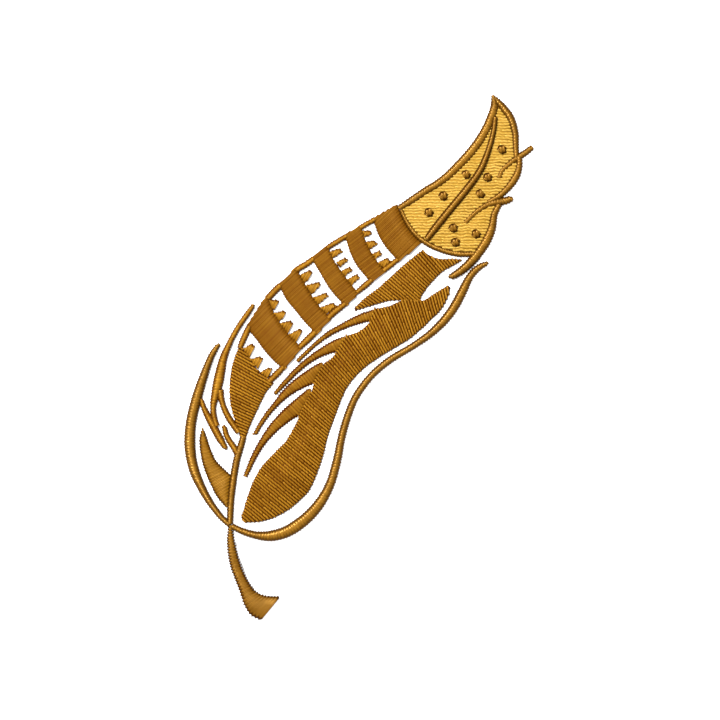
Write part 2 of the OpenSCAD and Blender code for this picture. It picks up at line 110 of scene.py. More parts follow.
def bottom_edges(node):
    """The boundary of a node's lowest face, as pairs of points."""
    mesh = NODES[node].data
    mesh.calc_loop_triangles()
    to_world = NODES[node].matrix_world
    pts = [to_world @ v.co for v in mesh.vertices]
    low = min(p.z for p in pts)
    count = {}
    for tri in mesh.loop_triangles:
        ps = [pts[i] for i in tri.vertices]
        if max(p.z for p in ps) > low + 1e-6:
            continue
        keys = [(round(p.x / MM, 3), round(p.y / MM, 3)) for p in ps]
        for a, b in ((0, 1), (1, 2), (2, 0)):
            e = tuple(sorted((keys[a], keys[b])))
            count[e] = count.get(e, 0) + 1
    return [e for e, n in sorted(count.items()) if n == 1 and e[0] != e[1]]


def loops_of(edges):
    """Closed loops of points from loose edges."""
    nxt = {}
    for a, b in edges:
        nxt.setdefault(a, []).append(b)
        nxt.setdefault(b, []).append(a)
    left = set(edges)
    loops = []
    for first in edges:
        if first not in left:
            continue
        left.discard(first)
        loop = [first[0], first[1]]
        while True:
            here = loop[-1]
            step = [p for p in nxt[here] if tuple(sorted((here, p))) in left]
            if not step:
                break
            left.discard(tuple(sorted((here, step[0]))))
            if step[0] == loop[0]:
                break
            loop.append(step[0])
        if len(loop) > 2:
            loops.append(loop)
    return loops


def crossings(edges, p, d):
    """Where the line p + u * d crosses the edges: sorted values of u."""
    out = []
    for (x1, y1), (x2, y2) in edges:
        c1 = (x1 - p[0]) * d[1] - (y1 - p[1]) * d[0]
        c2 = (x2 - p[0]) * d[1] - (y2 - p[1]) * d[0]
        if (c1 > 0) != (c2 > 0):
            t = c1 / (c1 - c2)
            x, y = x1 + t * (x2 - x1), y1 + t * (y2 - y1)
            out.append((x - p[0]) * d[0] + (y - p[1]) * d[1])
    return sorted(out)


def inside(edges, p):
    return sum(u > 0 for u in crossings(edges, p, (1.0, 1e-4))) % 2 == 1


def unit(deg):
    return (math.cos(math.radians(deg)), math.sin(math.radians(deg)))


def lerp(a, b, t):
    return a + (b - a) * t


def dist(a, b):
    return math.hypot(b[0] - a[0], b[1] - a[1])


def ahead(p, d, reach):
    """The point that lies reach from p in the direction d."""
    return (p[0] + reach * d[0], p[1] + reach * d[1])


def beyond(a, b, reach):
    """The point that lies reach past b, on the way from a."""
    length = dist(a, b)
    return (b[0] + (b[0] - a[0]) / length * reach, b[1] + (b[1] - a[1]) / length * reach)


# ---------------------------------------------------------------- rows: (start, end, number of the row)

def rows_parallel(edges, deg, pitch):
    """Every stretch of parallel lines that lies inside the edges."""
    d = unit(deg)
    n = (-d[1], d[0])
    across = [p[0] * n[0] + p[1] * n[1] for e in edges for p in e]
    rows = []
    for k in range(math.floor(min(across) / pitch), math.ceil(max(across) / pitch)):
        v = (k + 0.5) * pitch
        p = (n[0] * v, n[1] * v)
        us = crossings(edges, p, d)
        for a, b in zip(us[::2], us[1::2]):
            rows.append((ahead(p, d, a), ahead(p, d, b), k))
    return rows


def rows_guided(edges, guide, pitch):
    """Rows across a guide of (x, y, degrees), one for each pitch along it."""
    rows, carry, k = [], 0.0, 0
    for (x1, y1, a1), (x2, y2, a2) in zip(guide, guide[1:]):
        length = math.hypot(x2 - x1, y2 - y1)
        along = math.degrees(math.atan2(y2 - y1, x2 - x1))
        at = carry
        while at < length:
            t = at / length
            deg = lerp(a1, a2, t)
            p = (lerp(x1, x2, t), lerp(y1, y2, t))
            d = unit(deg)
            us = crossings(edges, p, d)
            spans = list(zip(us[::2], us[1::2]))
            near = [ab for ab in spans if ab[0] - GUIDE_REACH < 0 < ab[1] + GUIDE_REACH]
            if near:
                main = min(near, key=lambda ab: max(ab[0], -ab[1], 0))
                for a, b in spans:
                    if max(a - main[1], main[0] - b) < SLIT:
                        rows.append((ahead(p, d, a), ahead(p, d, b), k))
            k += 1
            at += pitch / max(LEAST_SINE, abs(math.sin(math.radians(deg - along))))
        carry = at - length
    return rows


def curve(points, steps=6):
    """The same smooth curve as the CAD's, with more steps."""
    out = []
    for i in range(len(points) - 1):
        a, b = points[i], points[i + 1]
        u = [q - p for p, q in zip(a, b)]
        v = [q - p for p, q in zip(a, b)]
        if i > 0:
            u = [(q - p) / 2 for p, q in zip(points[i - 1], b)]
        if i < len(points) - 2:
            v = [(q - p) / 2 for p, q in zip(a, points[i + 2])]
        for s in range(steps):
            t = s / steps
            t2, t3 = t ** 2, t ** 3
            h = (2 * t3 - 3 * t2 + 1, t3 - 2 * t2 + t, 3 * t2 - 2 * t3, t3 - t2)
            out.append([h[0] * a[c] + h[1] * u[c] + h[2] * b[c] + h[3] * v[c] for c in range(3)])
    out.append(list(points[-1]))
    return out


def column_rows(line, pitch, edges, joined, overlap):
    """Rows across a column's middle line, kept where their middle is inside the edges or nearly so.

    overlap is how far outside them it may lie, along the line.

    joined(point) says whether another piece is there: an end that meets one stays square, and a free one is
    round."""
    c = curve(line)
    ends = [joined(beyond(c[1], c[0], LINE_PROBE)), joined(beyond(c[-2], c[-1], LINE_PROBE))]
    lengths = [dist(a, b) for a, b in zip(c, c[1:])]
    total = sum(lengths)
    rows, at, k, run = [], LINE_START, 0, 0.0
    for i, length in enumerate(lengths):
        (x1, y1, w1), (x2, y2, w2) = c[i], c[i + 1]
        while at < run + length:
            t = (at - run) / length
            a, b = c[max(i - 1, 0)], c[min(i + 2, len(c) - 1)]
            dx, dy = lerp(x2 - a[0], b[0] - x1, t), lerp(y2 - a[1], b[1] - y1, t)
            q = math.hypot(dx, dy)
            x, y, w = lerp(x1, x2, t), lerp(y1, y2, t), lerp(w1, w2, t) + THREAD_SPREAD
            left = min(w if ends[0] else at, w if ends[1] else total - at) / w
            if left < 1:
                w *= math.sqrt(1 - (1 - left) ** 2)
            step = (dx / q * overlap, dy / q * overlap)
            if any(inside(edges, (x + s * step[0], y + s * step[1])) for s in (-1, 0, 1)):
                nx, ny = -dy / q * w, dx / q * w
                rows.append(((x + nx, y + ny), (x - nx, y - ny), k))
            k += 1
            at += pitch
        run += length
    return rows


def run_on(rows, short):
    """The rows with one more before the first, in step with it, to go under the piece that they start from.

    It is short by that much at both ends."""
    (a, b, k), (c, d, _) = rows[:2]
    p, q = ((2 * near[0] - far[0], 2 * near[1] - far[1]) for near, far in ((a, c), (b, d)))
    return [(beyond(q, p, -short), beyond(p, q, -short), k - 1)] + rows


def ragged(rows, pull):
    """The rows with every other one a little short at both ends, so that the edge is toothed."""
    return [(beyond(b, a, -pull), beyond(a, b, -pull), k) if k % 2 else (a, b, k) for a, b, k in rows]


def unbroken(rows, reach):
    """Rows in runs of neighbours. One run can pass beside another."""
    runs = []
    for row in rows:
        near = []
        for run in runs:
            gaps = (dist(row[0], run[-1][0]), dist(row[1], run[-1][1]))
            if row[2] - run[-1][2] in (1, 2) and max(gaps) < reach:
                near.append((sum(gaps), run))
        if near:
            min(near, key=lambda pair: pair[0])[1].append(row)
        else:
            runs.append([row])
    return [run for run in runs if len(run) > 1]


def advance(run):
    """Positive where the run goes on to the left of its rows' own direction, and negative to the right."""
    total = 0.0
    for (a, b, _), (c, d, _) in zip(run, run[1:]):
        total += (b[0] - a[0]) * (c[1] + d[1] - a[1] - b[1]) - (b[1] - a[1]) * (c[0] + d[0] - a[0] - b[0])
    return total


# ---------------------------------------------------------------- thread geometry, in mm

class Threads:
    """Collects the threads and the padding of one piece."""

    SIDES = 8

    def __init__(self, seed):
        self.rnd = random.Random(seed)
        self.count = 0
        self.verts, self.tone, self.dark = [], [], []
        self.faces, self.uvs = [], []

    def points(self, verts, tone, dark):
        base = self.count
        self.verts.append(verts)
        self.tone.append(np.broadcast_to(tone, len(verts)))
        self.dark.append(np.broadcast_to(dark, len(verts)))
        self.count += len(verts)
        return base

    def face(self, corners, uvs):
        self.faces.append(corners)
        self.uvs.extend(uvs)

    def strand(self, pts, width, thick, tone, dark, lay=0.0, depth=0.0, shift=0.0, flank=0.0):
        """A closed tube through pts. With a lay, it is two plies twisted together, one turn each lay.

        depth is how deep the groove between them is, and shift is how far along the twist the tube starts.
        flank is how much painted shade darkens its underside, where it sits against its neighbours."""
        p = np.asarray(pts, dtype=float)
        n, m = len(p), self.SIDES
        d = np.gradient(p, axis=0)
        d /= np.linalg.norm(d, axis=1)[:, None]
        side = np.stack([-d[:, 1], d[:, 0], np.zeros(n)], axis=1)
        side /= np.maximum(np.linalg.norm(side, axis=1), 1e-9)[:, None]
        up = np.cross(d, side)
        up *= np.where(up[:, 2] < 0, -1.0, 1.0)[:, None]
        run = np.concatenate([[0], np.cumsum(np.linalg.norm(np.diff(p, axis=0), axis=1))]) + shift
        turn = run / lay if lay else np.zeros(n)
        ang = 2 * math.pi * np.arange(m) / m - math.pi / 2
        lobe = 1 + depth * np.cos(2 * (ang[None, :] - 2 * math.pi * turn[:, None]))
        lobe[0] *= 0.5
        lobe[-1] *= 0.5
        out = p[:, None, :] + side[:, None, :] * (width / 2 * lobe * np.cos(ang))[:, :, None] \
            + up[:, None, :] * (thick / 2 * lobe * np.sin(ang))[:, :, None]
        # Painted shade in the groove between the plies, and on the underside against the next row
        valley = np.clip(1 - lobe, 0, depth) / depth * PLY_SHADE if depth else np.zeros((n, m))
        under = flank * (1 - np.sin(ang)) / 2
        darkness = np.clip(np.broadcast_to(dark, n)[:, None] + valley + under, 0, 1)
        base = self.points(out.reshape(-1, 3), np.repeat(np.broadcast_to(tone, n), m), darkness.reshape(-1))
        for k in range(n - 1):
            for s in range(m):
                a, b = base + k * m + s, base + k * m + (s + 1) % m
                v0, v1 = s / m, (s + 1) / m
                self.face((a, b, b + m, a + m),
                          ((run[k], v0 - turn[k]), (run[k], v1 - turn[k]),
                           (run[k + 1], v1 - turn[k + 1]), (run[k + 1], v0 - turn[k + 1])))
        for k, ring in ((0, range(m - 1, -1, -1)), (n - 1, range(m))):
            self.face(tuple(base + k * m + s for s in ring), [(run[k], s / m) for s in ring])

    def plate(self, loops, z0, z1, tone, dark):
        """A closed plate under the threads, which fills the valleys between them, darkened as painted shade
        there.
        """
        for loop in loops:
            flat, rim, tris = triangulate([Vector(p) for p in loop], len(loop))
            n = len(flat)
            verts = [(p.x, p.y, z) for z in (z0, z1) for p in flat]
            base = self.points(np.array(verts), tone, dark)
            for t in tris:
                self.face(tuple(base + n + i for i in t), [tuple(flat[i]) for i in t])
                self.face(tuple(base + i for i in t[::-1]), [tuple(flat[i]) for i in t[::-1]])
            for a, b in rim:
                self.face((base + a, base + b, base + n + b, base + n + a),
                          [(0, 0), (0.1, 0), (0.1, 0.1), (0, 0.1)])

    def padding(self, rows, z0, rise_of, arch, tone, dark, edge, joined, covered_at, reach):
        """The closed, rounded core of satin, just under its threads.

        It stops short of the needle holes on a free side, and goes past them where another piece begins."""
        marks = [0, 0.03, 0.1, 0.2, 0.34, 0.5, 0.66, 0.8, 0.9, 0.97, 1]
        m = len(marks) + 2
        for run in unbroken(rows, reach):
            if advance(run) > 0:
                run = [(b, a, k) for a, b, k in run]
            verts, shade = [], []
            for a, b, k in run:
                length = max(dist(a, b), 0.01)
                rise = max(0.03, rise_of(length) - PADDING_DROP)
                ends = (beyond(b, a, END_PROBE), beyond(a, b, END_PROBE))
                covered = [covered_at(p) for p in ends]
                inset = [min(0.2, (-PADDING_REACH if joined(p) else PADDING_INSET) / length) for p in ends]
                for i, mark in enumerate([marks[0]] + marks + [marks[-1]]):
                    t = lerp(inset[0], 1 - inset[1], mark)
                    x = abs(2 * t - 1)
                    z = z0 if i in (0, m - 1) else z0 + rise * max(0, 1 - x ** arch) ** 0.5
                    verts.append((lerp(a[0], b[0], t), lerp(a[1], b[1], t), z))
                    # Painted shade towards the needle holes on a free side
                    side = 0.0 if covered[int(t > 0.5)] else float(edge_shade(x, length, edge))
                    shade.append(min(MOST_SHADE, dark * min(1, length / FULL_SHADE) + side))
            base = self.points(np.array(verts), tone, np.array(shade))
            for j in range(len(run) - 1):
                for s in range(m):
                    a, b = base + j * m + s, base + j * m + (s + 1) % m
                    u, v = j * SATIN_PITCH, s / m
                    self.face((b, a, a + m, b + m), ((u, v + 1 / m), (u, v), (u + SATIN_PITCH, v),
                                                     (u + SATIN_PITCH, v + 1 / m)))
            last = base + (len(run) - 1) * m
            for start, ring in ((base, range(m)), (last, range(m - 1, -1, -1))):
                self.face(tuple(start + s for s in ring), [(0, s / m) for s in ring])

    def piece(self, name, node, material, flip=None):
        """Makes the object. Where flip is given, it is mirrored in height, from z to flip - z."""
        verts = np.concatenate(self.verts) * MM
        faces = self.faces
        uvs = self.uvs
        if flip is not None:
            verts[:, 2] = flip * MM - verts[:, 2]
            starts = np.cumsum([0] + [len(f) for f in faces])
            uvs = [uv for f, s in zip(faces, starts) for uv in self.uvs[s:s + len(f)][::-1]]
            faces = [f[::-1] for f in faces]
        mesh = bpy.data.meshes.new(name)
        mesh.from_pydata(verts.tolist(), [], faces)
        for label, values in (("tone", self.tone), ("dark", self.dark)):
            mesh.attributes.new(label, "FLOAT", "POINT").data.foreach_set("value", np.concatenate(values))
        mesh.uv_layers.new(name="thread").data.foreach_set("uv", np.array(uvs, dtype=float).ravel())
        mesh.polygons.foreach_set("use_smooth", [True] * len(mesh.polygons))
        mesh.materials.append(material)
        return place(bpy.data.objects.new(name, mesh), node)


def place(ob, node):
    """Puts a piece in the scene in the place of a CAD node."""
    bpy.context.scene.collection.objects.link(ob)
    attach(ob, "root")
    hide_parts(node)
    return ob


def triangulate(points, rim_count):
    """Triangles inside the loop of the first rim_count points, through all points, and their rim edges."""
    flat, _, tris = delaunay_2d_cdt(points, [], [list(range(rim_count))], 1, 1e-5)[:3]
    turned, rim = [], {}
    for t in tris:
        area = sum(flat[t[i]].cross(flat[t[(i + 1) % 3]]) for i in range(3))
        t = list(t) if area > 0 else list(t)[::-1]
        turned.append(t)
        for i in range(3):
            e = (t[i], t[(i + 1) % 3])
            if (e[1], e[0]) in rim:
                del rim[(e[1], e[0])]
            else:
                rim[e] = True
    return flat, list(rim), turned


def fill_rows(threads, rows, z0, top, width, thick, stitch, wave=0.02, wave_size=1.3, lay=1.1, depth=0.12,
              step=0.1, lift=0.015, joined_at=None, dimple=1.0):
    """Rows of a fill. stitch is the length between needle holes, and dimple is how strongly they show, in dip
    and in painted shade.

    A row sways by wave over stretches of wave_size, lies up to lift higher or lower than the others, and has
    a point at each step."""
    r = threads.rnd
    zc = top - thick / 2
    for a, b, k in rows:
        length = dist(a, b)
        if length < SHORTEST_ROW:
            continue
        d = ((b[0] - a[0]) / length, (b[1] - a[1]) / length)
        n = (-d[1], d[0])
        joined = [joined_at is not None and joined_at(beyond(q, p, ROW_PROBE))
                  for p, q in ((a, b), (b, a))]
        s0 = -ROW_REACH if joined[0] else r.uniform(-ROW_OUT, ROW_IN)
        s1 = length + (ROW_REACH if joined[1] else r.uniform(-ROW_IN, ROW_OUT))
        holes = []
        h = s0 + stitch * (FIRST_HOLE + HOLE_STAGGER * (k % 3)) + r.uniform(-STITCH_JITTER, STITCH_JITTER)
        while h < s1 - stitch * LAST_HOLE:
            holes.append(h)
            h += stitch + r.uniform(-STITCH_JITTER, STITCH_JITTER)
        s = np.linspace(s0, s1, max(5, int((s1 - s0) / step) + 1))
        edge = np.zeros(len(s))
        for meets, gap in zip(joined, (s - s0, s1 - s)):
            if not meets:
                edge = np.maximum(edge, np.clip(1 - gap / NEEDLE_GAP, 0, 1))
        hole = np.zeros(len(s))
        for h in holes:
            hole = np.maximum(hole, np.clip(1 - np.abs(s - h) / HOLE_RADIUS, 0, 1))
        rise = r.uniform(-lift, lift)
        x, y = a[0] + d[0] * s, a[1] + d[1] * s
        sway = [noise.noise(Vector((p / wave_size, q / wave_size, 7.0))) for p, q in zip(x, y)]
        sway = np.array(sway) * wave * 2
        z = zc + rise - (top - z0) * ROW_END_DIP * edge ** 1.6 - HOLE_DIP * dimple * hole ** 1.5
        tone = np.full(len(s), r.random())
        for h in holes:
            tone = np.where(s > h, r.random(), tone)
        pts = np.stack([x + n[0] * sway, y + n[1] * sway, z], axis=1)
        # Painted shade towards a free row end and at each needle hole
        shade = ROW_END_SHADE * edge ** 1.5 + HOLE_SHADE * dimple * hole
        threads.strand(pts, width, thick, tone, shade, lay, depth, r.uniform(0, 1), FLANK_SHADE * dimple)


def edge_shade(x, length, edge):
    """How much painted shade darkens a stitch at x, which is 0 in its middle and 1 at its needle holes."""
    reach = min(edge, 0.5 * length)
    return EDGE_SHADE * np.maximum(0, 1 - (1 - x) * length / 2 / reach) ** EDGE_POWER


def arched(threads, rows, z0, rise_of, width, thick, arch, dark, zigzag, ridge, edge, covered_at, reach):
    """Satin threads over their padding. In a zigzag they meet at the needle holes, and else they lie side by
    side. ridge is how far every second one lies lower, which also gives it painted shade. Painted shade
    darkens them towards their needle holes where covered_at(point) is false."""
    r = threads.rnd
    marks = np.array([0.0, 0.05, 0.13, 0.25, 0.38, 0.5, 0.62, 0.75, 0.87, 0.95, 1.0])
    x = np.abs(2 * marks - 1)
    for run in unbroken(rows, reach):
        for j, (row, after) in enumerate(zip(run, run[1:] + run[-1:])):
            here, there = row[0], row[1]
            if zigzag:
                here, there = (row[0], after[1]) if j % 2 == 0 else (row[1], after[0])
            length = dist(here, there)
            if length < SHORTEST_STITCH:
                continue
            tooth = NEEDLE_OUT if zigzag else TOOTH * (-1) ** j
            out = [tooth + r.uniform(-NEEDLE_JITTER, NEEDLE_JITTER) for _ in range(2)]
            a, b = beyond(there, here, out[0]), beyond(here, there, out[1])
            top = rise_of(length) + r.uniform(-0.01, 0.01) - (ridge if j % 2 else 0.0)
            z = z0 + top * np.maximum(0, 1 - x ** arch) ** 0.5
            pts = np.stack([lerp(a[0], b[0], marks), lerp(a[1], b[1], marks), z], axis=1)
            covered = [covered_at(beyond(p, q, END_PROBE)) for p, q in ((there, here), (here, there))]
            # Painted shade towards the needle holes on a free side
            side = edge_shade(x, length, edge) * np.where(marks > 0.5, not covered[1], not covered[0])
            # Every second, lower stitch also gets painted shade
            shade = dark * min(1, length / FULL_SHADE) + side + (RIDGE_SHADE * ridge if j % 2 else 0)
            threads.strand(pts, width, thick, r.random(), np.clip(shade, 0, MOST_SHADE))


# ---------------------------------------------------------------- materials

def new_material(name):
    material = bpy.data.materials.new(name)
    material.use_nodes = True
    tree = material.node_tree
    return material, tree, tree.nodes["Principled BSDF"]


def add_node(tree, kind, inputs=None, **settings):
    node = tree.nodes.new(kind)
    for key, value in settings.items():
        setattr(node, key, value)
    for key, value in (inputs or {}).items():
        if isinstance(value, bpy.types.NodeSocket):
            tree.links.new(value, node.inputs[key])
        else:
            node.inputs[key].default_value = value
    return node


def ramp_node(tree, factor, stops):
    ramp = add_node(tree, "ShaderNodeValToRGB", {"Fac": factor})
    for element, (at, colour) in zip(ramp.color_ramp.elements, stops):
        element.position = at
        element.color = (*colour, 1)
    return ramp


def noise_of(tree, vector, scale, detail):
    inputs = {"Vector": vector, "Scale": scale, "Detail": detail}
    return add_node(tree, "ShaderNodeTexNoise", inputs).outputs["Fac"]


def spread(tree, value, low, high):
    """The value from 0 to 1, spread from low to high."""
    inputs = {"Value": value, "To Min": low, "To Max": high}
    return add_node(tree, "ShaderNodeMapRange", inputs).outputs["Result"]


def thread_material(name, shine, dark, light, hole, gloss, metallic=0.1, rough=0.36, level=0.5, sheen=0.0):
    """Rayon thread: filaments along each stitch, its own tone for each stitch, and the painted shade of the
    dark attribute, which also dulls its gloss.
    """
    material, tree, shader = new_material(name)
    coord = add_node(tree, "ShaderNodeTexCoord").outputs["Object"]
    thread_uv = add_node(tree, "ShaderNodeUVMap", uv_map="thread").outputs["UV"]
    tone = add_node(tree, "ShaderNodeAttribute", attribute_name="tone").outputs["Fac"]
    shade = add_node(tree, "ShaderNodeAttribute", attribute_name="dark").outputs["Fac"]
    patches = noise_of(tree, coord, 260.0, 2.0)
    along = add_node(tree, "ShaderNodeMapping", {"Vector": thread_uv, "Scale": (0.9, 13.0, 1.0)}).outputs[0]
    filament = noise_of(tree, along, 1.0, 3.0)
    mixed = 0.0
    for part, share in ((tone, 0.34), (patches, 0.45), (filament, 0.55)):
        inputs = {0: part, 1: share, 2: mixed}
        mixed = add_node(tree, "ShaderNodeMath", inputs, operation="MULTIPLY_ADD").outputs[0]
    body = ramp_node(tree, mixed, ((0.3, dark), (1.0, light))).outputs["Color"]
    # The dark attribute mixes in the colour of the painted shade
    colour = add_node(tree, "ShaderNodeMix", {"Factor": shade, "A": body, "B": (*hole, 1)}, data_type="RGBA")
    tree.links.new(colour.outputs["Result"], shader.inputs["Base Color"])
    bump = add_node(tree, "ShaderNodeBump", {"Height": filament, "Strength": 0.5, "Distance": 0.00004})
    tree.links.new(bump.outputs["Normal"], shader.inputs["Normal"])
    tree.links.new(spread(tree, filament, rough - 0.07, rough + 0.09), shader.inputs["Roughness"])
    shader.inputs["Specular IOR Level"].default_value = shine * level
    tree.links.new(spread(tree, shade, shine * level, 0.0), shader.inputs["Specular IOR Level"])
    shader.inputs["Metallic"].default_value = shine * metallic
    shader.inputs["Specular Tint"].default_value = (*gloss, 1)
    shader.inputs["Sheen Weight"].default_value = sheen
    shader.inputs["Sheen Roughness"].default_value = 0.4
    shader.inputs["Sheen Tint"].default_value = (*gloss, 1)
    return material


def cloth_material(name, tint, count, strength, painted_glow):
    """Plain weave: two crossed sets of threads, with slubs. Its emission is painted light, which lightens the
    shade on the cloth.
    """
    material, tree, shader = new_material(name)
    coord = add_node(tree, "ShaderNodeTexCoord").outputs["Object"]
    wave = {"Vector": coord, "Scale": count, "Distortion": 0.6, "Detail": 2.0}
    warp, weft = [add_node(tree, "ShaderNodeTexWave", wave, bands_direction=axis).outputs["Fac"]
                  for axis in ("X", "Y")]
    weave = add_node(tree, "ShaderNodeMath", {0: warp, 1: weft}, operation="MULTIPLY").outputs[0]
    slub = noise_of(tree, coord, 700.0, 4.0)
    height = add_node(tree, "ShaderNodeMath", {0: weave, 1: slub}, operation="ADD").outputs[0]
    bump = add_node(tree, "ShaderNodeBump", {"Height": height, "Strength": strength, "Distance": 0.00004})
    tree.links.new(bump.outputs["Normal"], shader.inputs["Normal"])
    # The weave's hollows are a little darker: painted shade
    shaded = tuple(c * 0.95 for c in tint)
    colour = ramp_node(tree, weave, ((0.0, shaded), (1.0, tint))).outputs["Color"]
    tree.links.new(colour, shader.inputs["Base Color"])
    tree.links.new(spread(tree, slub, 0.75, 0.95), shader.inputs["Roughness"])
    shader.inputs["Sheen Weight"].default_value = 0.15
    shader.inputs["Specular IOR Level"].default_value = 0.2
    shader.inputs["Emission Color"].default_value = (1, 1, 1, 1)
    shader.inputs["Emission Strength"].default_value = painted_glow
    return material


# Each slot's dark tone, light tone, colour of its painted shade, as at the needle holes, and colour of its
# gloss, and then, where they differ from the usual, its metallic, roughness, specular level and sheen
THREAD = {
    "brown_thread": ((0.200, 0.071, 0.002), (0.452, 0.206, 0.014), (0.055, 0.005, 0.0), (1.0, 0.72, 0.2)),
    "edge_thread": ((0.195, 0.078, 0.002), (0.355, 0.160, 0.014), (0.030, 0.004, 0.0), (1.0, 0.74, 0.3),
                    0.25, 0.3, 0.8),
    "gold_thread": ((0.455, 0.256, 0.024), (0.685, 0.425, 0.085), (0.310, 0.140, 0.008), (1.0, 0.85, 0.4)),
    "bobbin_thread": ((0.72, 0.72, 0.70), (0.86, 0.86, 0.84), (0.55, 0.55, 0.53), (1, 1, 1),
                      0.0, 0.55, 0.4, 0.1),
}
# How much of the full shine a piece keeps, where its flat, parallel threads are duller
SHINE = {"calamus": 0.5, "down_patch": 0.35}
SHINE.update({f"bar_{i}": 0.5 for i in range(1, 6)})
looks = {}


def look_of(node):
    """The thread material of a node, made once for each slot and shine."""
    slot, shine = SLOTS[node], SHINE.get(node, 1.0)
    if (slot, shine) not in looks:
        name = slot if shine == 1.0 else f"{slot}_shine_{round(100 * shine)}"
        looks[slot, shine] = thread_material(name, shine, *THREAD[slot])
    return looks[slot, shine]


# The white cloth glows a little: painted light that lightens the shadows on it
CLOTH = cloth_material("white_cloth", (0.92, 0.92, 0.92), 900.0, 0.35, 0.3)
FELT = cloth_material("stabiliser", (0.86, 0.86, 0.85), 260.0, 0.6, 0.0)


# ---------------------------------------------------------------- where the stitches run, in mm

